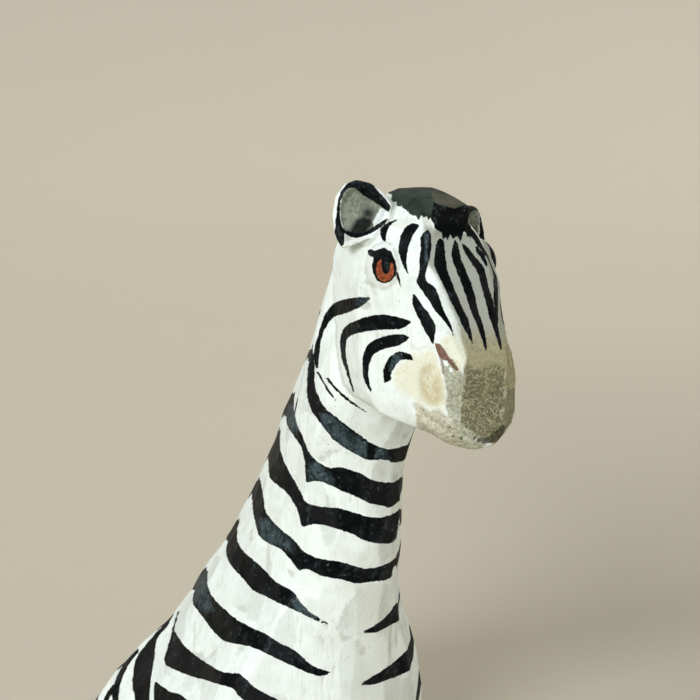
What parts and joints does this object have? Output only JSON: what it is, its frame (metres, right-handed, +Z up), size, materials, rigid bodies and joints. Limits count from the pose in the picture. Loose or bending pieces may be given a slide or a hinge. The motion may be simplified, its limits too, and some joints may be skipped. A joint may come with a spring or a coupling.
{
  "type": "carved wooden zebra bust",
  "caption": "Hand-carved wooden zebra head and neck, painted black and white, cut flat below as a standing ornament.",
  "frame": {"origin": "middle of the bounding box at the flat underside", "axes": "+Z up, the zebra faces -Y, its left side is +X"},
  "size_m": [0.0856, 0.2106, 0.1976],
  "materials": {
    "painted_wood": "hand-painted black and white stripes over knife-cut wood, satin"
  },
  "bodies": {
    "root": {"zebra_bust": "painted_wood"}
  },
  "joints": []
}
